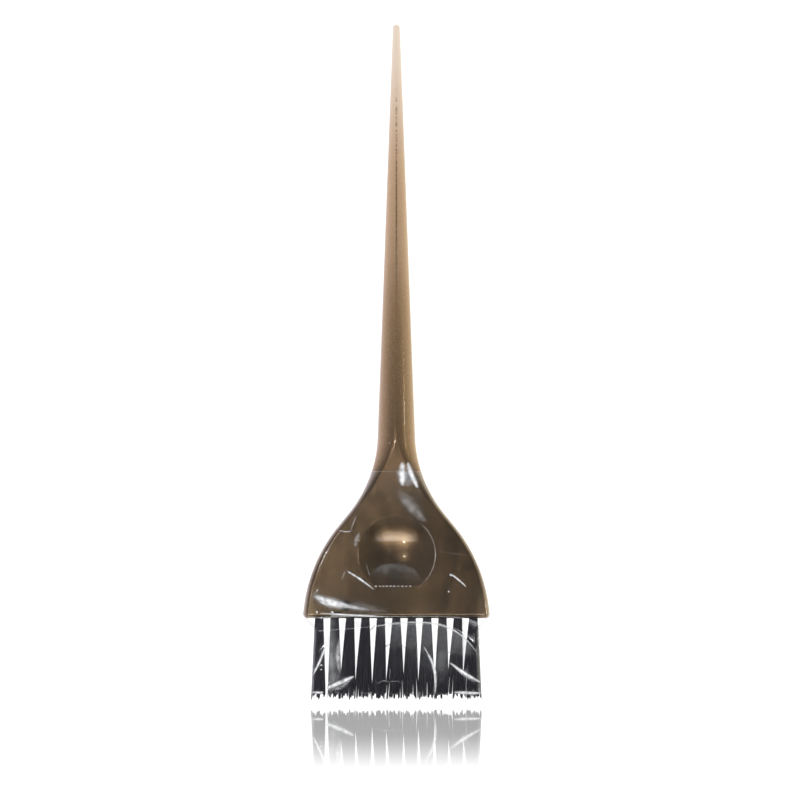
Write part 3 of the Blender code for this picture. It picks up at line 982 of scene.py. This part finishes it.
# The shrink film


def film_section(height):
    """The film's half width, its half thicknesses over bristles and head, and its corner radius."""
    half_width, half_thickness, radius = section_at(max(height, HEAD_BOTTOM + LOWER_EDGE_RADIUS))
    last = (TUFTS_IN_ROW - 1) / 2 * TUFT_PITCH
    sunk = 1 - max(height, 0.0) / HEAD_BOTTOM
    block_width = blend(last + TUFT_RADIUS, TIPS_REACH + TIP_OVERLAP, sunk)
    block_thickness = ROW_Y["rear"] + blend(TUFT_RADIUS, TUFT_RADIUS * TIP_DEPTH_SCALE, sunk)
    on_head = smooth_step(height, HEAD_BOTTOM - FILM_TURN_IN, FILM_SHOULDER)
    half_width = blend(block_width, half_width, on_head) + FILM_SIDE_GAP
    thicknesses = (block_thickness + FILM_GAP, half_thickness + FILM_GAP)
    return half_width, thicknesses, radius + FILM_SIDE_GAP


def film_half_thickness(x, height, thicknesses):
    """The film leaves the bristles' thickness for the head's above a line that sags towards its sides."""
    foot = np.minimum(np.interp(x, ARCH_CURVE[:, 0], ARCH_CURVE[:, 1]), FILM_FOOT)
    share = np.clip((height - foot) / (FILM_SHOULDER - foot), 0.0, 1.0)
    return blend(*thicknesses, share * share * (3 - 2 * share))


def film_columns():
    """Each column's shares of the section's inner half width and thickness, and its outward direction."""
    columns = []
    steps_of = (FILM_FRONT_STEPS, FILM_SIDE_STEPS, FILM_REAR_STEPS, FILM_SIDE_STEPS)
    outwards = ((0, -1), (1, 0), (0, 1), (-1, 0))
    for steps, (out_x, out_y) in zip(steps_of, outwards):
        for i in range(steps):
            share = 2 * i / steps - 1
            columns.append((out_x - share * out_y, out_y + share * out_x, out_x, out_y))
        start = math.atan2(out_y, out_x)
        corner = (out_x - out_y, out_y + out_x)
        for i in range(FILM_CORNER_STEPS):
            angle = start + math.pi / 2 * i / FILM_CORNER_STEPS
            columns.append((*corner, math.cos(angle), math.sin(angle)))
    return np.array(columns, dtype=float)


def waves(dice):
    """Directions, phases and lengths of the film's gentle waves."""
    lengths = dice.uniform(*FILM_WAVE_LENGTHS, FILM_WAVES) * MM
    angles = dice.uniform(0.0, math.pi, FILM_WAVES)
    return np.cos(angles) / lengths, np.sin(angles) / lengths, dice.uniform(0.0, 2 * math.pi, FILM_WAVES)


def wave_lift(x, z, shape):
    total = np.zeros_like(x)
    for wide, high, phase in zip(*shape):
        total += np.sin(2 * math.pi * (x * wide + z * high) + phase)
    return total * FILM_WAVE_HEIGHT / math.sqrt(FILM_WAVES)


def beside_path(x, z, path):
    """Signed distance of points from a path of (x, z) points, above it positive, and the share along it."""
    best = np.full(x.shape, 1e9)
    signed = np.zeros_like(x)
    along = np.zeros_like(x)
    for number, ((x0, z0), (x1, z1)) in enumerate(zip(path, path[1:])):
        step_x, step_z = x1 - x0, z1 - z0
        length = step_x * step_x + step_z * step_z
        share = np.clip(((x - x0) * step_x + (z - z0) * step_z) / length, 0.0, 1.0)
        off_x, off_z = x - x0 - share * step_x, z - z0 - share * step_z
        distance = np.hypot(off_x, off_z)
        turn = math.copysign(1.0, step_x)
        side = np.where((step_x * off_z - step_z * off_x) * turn < 0, -1.0, 1.0)
        nearer = distance < best
        signed = np.where(nearer, distance * side, signed)
        along = np.where(nearer, (number + share) / (len(path) - 1), along)
        best = np.minimum(best, distance)
    return signed, along


def ridge(x, z, points, above, below):
    """One on the path of (x, z) millimetre points, fading to each side of it and towards its ends."""
    off, along = beside_path(x, z, [(px * MM, pz * MM) for px, pz in points])
    reach = np.where(off > 0, above, below) * MM
    crest = np.sqrt((off / reach) ** 2 + RIDGE_ROUND**2) - RIDGE_ROUND
    return np.exp(-1.6 * crest) * np.sin(math.pi * along) ** 0.6


def ridges(x, z, rows):
    """The sum of ridges, each given by its points, its height, and its reach above and below."""
    total = np.zeros_like(x)
    for points, height, above, below in rows:
        total += height * ridge(x, z, points, above, below)
    return total


def film_lift(x, z, face):
    """How far the film stands off its plain shape. Face is -1 on the front and 1 on the rear."""
    lifts = [(fold[0], fold[3] * MM, *fold[4:]) for fold in FOLDS[face] if fold[3]]
    total = wave_lift(x, z, WAVES[face]) + ridges(x, z, lifts)
    return np.maximum(total, -0.5 * FILM_GAP)


def front_folds():
    """The folds over the front, with the line on the dish's rim and the dashes over its foot."""
    rim = []
    for angle in np.radians(RIM_LINE_ANGLES):
        rise = RIM_LINE_RADIUS * math.sin(angle)
        rim.append((RIM_LINE_RADIUS * math.cos(angle), DISH_HEIGHT / MM + rise))
    folds = [*FRONT_FOLDS, (rim, *RIM_LINE_LOOK)]
    for x in DASH_PLACES:
        ends = ((x - DASH_HALF_LENGTH, DASH_HEIGHT), (x + DASH_HALF_LENGTH, DASH_HEIGHT))
        folds.append((ends, *DASH_LOOK))
    return folds


def film_reach(z, margin):
    """How far from the middle a point may lie and still be a margin inside the film, in millimetres."""
    return half_width_at(max(z, HEAD_WIDEST) * MM) / MM - margin


def rear_path(dice):
    """A short, slightly bent path over the rear: three (x, z) points in millimetres."""
    z = dice.uniform(*REAR_HEIGHTS)
    reach = film_reach(z, REAR_START_MARGIN)
    x = dice.uniform(-reach, reach)
    length = dice.uniform(*REAR_LENGTHS)
    angle = dice.normal(0.0, REAR_TURN_SCATTER) + (-REAR_TURN if x > 0 else REAR_TURN)
    bend = dice.normal(0.0, REAR_BEND) * length
    step_x, step_z = math.cos(angle) * length, math.sin(angle) * length
    middle = (x + step_x / 2 - bend * math.sin(angle), z + step_z / 2 + bend * math.cos(angle))
    return (x, z), middle, (x + step_x, z + step_z)


def rear_folds():
    """Folds over the rear, scattered as on the front. Those that would reach past the film are left out."""
    dice = np.random.default_rng(SEED + 100)
    folds = []
    for _ in range(REAR_FOLDS):
        points = rear_path(dice)
        if all(abs(x) < film_reach(z, REAR_MARGIN) and REAR_MARGIN < z < REAR_TOP for x, z in points):
            half_width = dice.uniform(*REAR_HALF_WIDTHS)
            white = dice.uniform(*REAR_GLINT_STRENGTHS)
            folds.append((points, half_width, white, dice.uniform(*REAR_LIFTS), *REAR_REACHES))
    return folds


def film_ring(columns, height):
    """The film's points at one height, and how hazy each is, haze that is partly painted sheen."""
    half_width, thicknesses, radius = film_section(height)
    x = columns[:, 0] * (half_width - radius) + columns[:, 2] * radius
    half_thickness = film_half_thickness(x, height, thicknesses)
    y = columns[:, 1] * (half_thickness - radius) + columns[:, 3] * radius
    z = np.full(x.shape, height)
    front = columns[:, 3] < 0
    lift = np.where(front, film_lift(x, z, -1), film_lift(x, z, 1))
    lift *= np.abs(columns[:, 3])
    x = x + lift * columns[:, 2]
    y = y + lift * columns[:, 3]
    haze_and_sheen = np.where(front, ridges(x, z, FILM_HAZE_AND_SHEEN), ridges(-x, z, FILM_HAZE_AND_SHEEN))
    return np.stack([x, y, z], axis=1), haze_and_sheen


def film_wall(name, shape, layer_name, values, finish, thickness):
    """An object with the shape's vertices and faces thickened inwards, and a value for each vertex."""
    made = object_of(*shape, name, finish, FILM_SHARP_DEGREES)
    layer = made.data.attributes.new(layer_name, "FLOAT", "POINT")
    layer.data.foreach_set("value", values)
    wall = made.modifiers.new("wall", "SOLIDIFY")
    wall.thickness = thickness
    wall.offset = -1.0
    return made


def make_film():
    columns = film_columns()
    count = math.ceil((SLEEVE_HIGH.z - SLEEVE_LOW.z) / FILM_RING_STEP)
    heights = [blend(SLEEVE_LOW.z, SLEEVE_HIGH.z, i / count) for i in range(count + 1)]
    rings, haze_and_sheen = zip(*[film_ring(columns, height) for height in heights])
    shape = (np.concatenate(rings).tolist(), grid_faces(0, count + 1, len(columns)))
    made = film_wall("shrink_film", shape, "haze_and_sheen", np.concatenate(haze_and_sheen), clear_film(), FILM_WALL)
    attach(made, "root")
    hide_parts("shrink_sleeve")


def film_surface(x, z, face):
    """The film's y at points of one face."""
    y = []
    lift = film_lift(x, z, face)
    for px, pz, rise in zip(x, z, lift):
        half_width, thicknesses, radius = film_section(min(pz, SLEEVE_HIGH.z + FOLD_OVERHANG))
        half_thickness = film_half_thickness(px, pz, thicknesses)
        over = min(max(abs(px) - (half_width - radius), 0.0) / radius, 0.999)
        out = math.sqrt(1 - over * over)
        y.append(face * (half_thickness - radius + radius * out + rise * out))
    return np.array(y)


def curve_point(a, b, c, d, share):
    """A point on the smooth curve from b to c, whose path comes from a and goes on to d."""
    square = 2 * a - 5 * b + 4 * c - d
    cube = 3 * b - a - 3 * c + d
    return 0.5 * (2 * b + (c - a) * share + square * share**2 + cube * share**3)


def smooth_path(points):
    """Evenly spaced points along a smooth curve through the given ones, which are in millimetres."""
    points = np.array(points, dtype=float) * MM
    if len(points) > 2:
        ends = (2 * points[0] - points[1], 2 * points[-1] - points[-2])
        whole = np.concatenate([ends[:1], points, ends[1:]])
        shares = np.arange(0.0, 1.0, CURVE_STEP)
        curve = [curve_point(*whole[i : i + 4], share) for i in range(len(points) - 1) for share in shares]
        points = np.array(curve + [points[-1]])
    steps = np.linalg.norm(np.diff(points, axis=0), axis=1)
    along = np.concatenate([[0.0], np.cumsum(steps)])
    count = max(6, round(along[-1] / FOLD_SAMPLE))
    places = np.linspace(0.0, along[-1], count + 1)
    return np.stack([np.interp(places, along, points[:, axis]) for axis in (0, 1)], axis=1)


def fold_profile(place):
    """A fold's height at a place from -1 to 1 across it: a crisp crest on a broad foot."""
    crest = np.clip(1.5 * math.exp(-((place * 4.2) ** 2)), 0.0, 0.85)
    return crest + 0.15 * (math.exp(-((place * 1.8) ** 2)) - math.exp(-3.24))


def add_fold(verts, faces, painted_glint, fold, face, dice):
    """One crisp crest as a narrow strip that lies on the film, with its painted glint."""
    points, half_width, white = fold[:3]
    path = smooth_path(points)
    tangent = np.gradient(path, axis=0)
    tangent /= np.linalg.norm(tangent, axis=1, keepdims=True)
    across = np.stack([-tangent[:, 1], tangent[:, 0]], axis=1)
    share = np.linspace(0.0, 1.0, len(path))
    ends = np.sqrt(np.clip(np.sin(math.pi * share), 0.0, 1.0))
    phase = dice.uniform(0.0, 2 * math.pi, 2)
    broken = 0.82 + 0.12 * np.sin(9.0 * share + phase[0]) + 0.12 * np.sin(23.0 * share + phase[1])
    base = len(verts)
    for place in np.linspace(-1.0, 1.0, FOLD_POINTS):
        width = half_width * MM * FOLD_SPREAD * (0.25 + 0.75 * ends)
        spot = path + across * (place * width)[:, None]
        bell = fold_profile(place)
        rise = FOLD_OFFSET + FOLD_CREST * half_width * MM * bell * ends
        y = film_surface(spot[:, 0], spot[:, 1], face) + face * rise
        verts += np.stack([spot[:, 0], y, spot[:, 1]], axis=1).tolist()
        painted_glint += (white * bell * ends * broken).tolist()
    quads = grid_faces(base, FOLD_POINTS, len(path), closed=False)
    faces += quads if face < 0 else [quad[::-1] for quad in quads]


def make_folds():
    verts, faces, painted_glint = [], [], []
    dice = np.random.default_rng(SEED + 200)
    for face, folds in FOLDS.items():
        for fold in folds:
            add_fold(verts, faces, painted_glint, fold, face, dice)
    made = film_wall("film_folds", (verts, faces), "painted_glint", painted_glint, film_fold_glints(), 0.5 * FOLD_OFFSET)
    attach(made, "root")


# The studio


def make_camera():
    data = bpy.data.cameras.new("camera")
    data.sensor_width = SENSOR_WIDTH
    data.lens = LENS
    camera = bpy.data.objects.new("camera", data)
    camera.location = CAMERA_PLACE
    camera.rotation_euler = (math.pi / 2, 0.0, 0.0)
    bpy.context.scene.collection.objects.link(camera)
    bpy.context.scene.camera = camera


def tent_level(g, axes):
    """Darkest towards the camera, dimmer on the left, and dark behind below the table's rear edge."""
    tent = g.ramp(axes["Y"], -0.95, 0.75, 0.10, 0.95, smooth=False)
    side = g.ramp(axes["X"], -0.6, 0.6, 0.94, 1.0)
    rear = g.ramp(axes["Y"], *TENT_REAR)
    side = g.math("ADD", g.times(side, g.math("SUBTRACT", 1.0, rear)), rear)
    hidden = g.times(rear, g.ramp(axes["Z"], -0.03, 0.0, 1.0, 0.0))
    tent = g.math("ADD", tent, g.ramp(axes["Y"], *TENT_REAR, 0.0, 0.4))
    return g.times(g.times(tent, side), g.ramp(hidden, 0.0, 1.0, 1.0, 0.15))


def tent_tint(g, axes):
    """Slightly blue on the left and yellow on the right."""
    left = g.mix(g.ramp(axes["X"], -0.5, -0.1), (0.97, 0.96, 1.06, 1.0), WHITE)
    return g.mix(g.ramp(axes["X"], 0.1, 0.6), left, (1.0, 0.97, 0.82, 1.0))


def make_world():
    """A graded light tent for what the brush mirrors, and plain white for the camera and diffuse light."""
    world = bpy.data.worlds.new("studio")
    bpy.context.scene.world = world
    g = Graph(world)
    look = g.node("ShaderNodeTexCoord").outputs["Generated"]
    axes = g.node("ShaderNodeSeparateXYZ", {0: look}).outputs
    tent = {"Color": tent_tint(g, axes), "Strength": tent_level(g, axes)}
    lit = g.node("ShaderNodeBackground", tent).outputs[0]
    path = g.node("ShaderNodeLightPath").outputs
    over = g.ramp(path["Is Camera Ray"], 0.0, 1.0, 1.0, BACKDROP)
    white = g.node("ShaderNodeBackground", {"Color": WHITE, "Strength": over}).outputs[0]
    even = g.math("MAXIMUM", path["Is Camera Ray"], path["Is Diffuse Ray"])
    both = g.node("ShaderNodeMixShader", {0: even, 1: lit, 2: white}).outputs[0]
    out = g.node("ShaderNodeOutputWorld")
    g.feed(out.inputs["Surface"], both)


def floor_white():
    """A glowing white, polished only where it shows the brush: in front of it."""
    g = new_material("floor_white")
    place = g.object_place()
    far = g.node("ShaderNodeVectorMath", {0: place}, operation="LENGTH").outputs["Value"]
    shine = g.node("ShaderNodeFresnel", {"IOR": 1.5}).outputs[0]
    shine = g.times(shine, g.ramp(far, *FLOOR_GLOSS_REACH, FLOOR_GLOSS, 0.0))
    axes = g.node("ShaderNodeSeparateXYZ", {0: place}).outputs
    shine = g.times(shine, g.ramp(axes["Y"], *FLOOR_GLOSS_FRONT))
    shine = g.times(shine, g.ramp(g.math("ABSOLUTE", axes["X"]), *FLOOR_GLOSS_SIDES))
    glow = g.node("ShaderNodeEmission", {"Color": WHITE, "Strength": BACKDROP}).outputs[0]
    gloss = g.node("ShaderNodeBsdfGlossy", {"Roughness": 0.03}).outputs[0]
    return g.finish(g.node("ShaderNodeMixShader", {0: shine, 1: glow, 2: gloss}).outputs[0])


def make_floor():
    bm = bmesh.new()
    bmesh.ops.create_grid(bm, x_segments=8, y_segments=8, size=FLOOR_HALF_SIZE)
    floor = object_from(bm, "floor", floor_white())
    floor.location = (0.0, 0.0, -FLOOR_DROP)
    floor.visible_glossy = False
    floor.visible_diffuse = False
    floor.visible_shadow = False


def lamp(name, place, target, size, radiance):
    data = bpy.data.lights.new(name, "AREA")
    data.shape = "DISK"
    data.size = size
    data.energy = radiance * math.pi * math.pi * (size / 2) ** 2
    made = bpy.data.objects.new(name, data)
    made.location = place
    direction = Vector(target) - Vector(place)
    made.rotation_euler = direction.to_track_quat("-Z", "Y").to_euler()
    made.visible_camera = False
    bpy.context.scene.collection.objects.link(made)


def card_white():
    """A glow that fades towards the card's sides and its lower end."""
    g = new_material("card_white")
    axes = g.node("ShaderNodeSeparateXYZ", {0: g.object_place()}).outputs
    across = g.ramp(g.math("ABSOLUTE", axes["X"]), *CARD_FADE_OUT, 1.0, 0.0)
    down = g.ramp(axes["Z"], *CARD_FADE_DOWN, 1.0, 0.0)
    level = g.times(g.times(across, down), CARD_LEVEL)
    glow = g.node("ShaderNodeEmission", {"Color": WHITE, "Strength": level})
    return g.finish(glow.outputs[0])


def make_card():
    """A white card low in front of the brush, which puts the grey arch into the dish."""
    bm = bmesh.new()
    top = [(-CARD_HALF_WIDTH, CARD_TOP), (CARD_HALF_WIDTH, CARD_TOP)]
    bottom = [(CARD_HALF_WIDTH, CARD_BOTTOM), (-CARD_HALF_WIDTH, CARD_BOTTOM)]
    bm.faces.new([bm.verts.new((x, 0.0, z)) for x, z in top + bottom])
    card = object_from(bm, "front_card", card_white())
    card.location = CARD_PLACE
    card.visible_camera = False
    card.visible_shadow = False


ARCH_CURVE = smooth_path(ARCH)
WAVES = {face: waves(np.random.default_rng(SEED + 50 + face)) for face in (-1, 1)}
FOLDS = {-1: front_folds(), 1: rear_folds()}

make_camera()
make_world()
make_floor()
make_card()
for settings in LAMPS:
    lamp(*settings)
make_handle()
make_tufts()
finish_anchors()
make_film()
make_folds()
bpy.context.scene.view_settings.view_transform = "Standard"
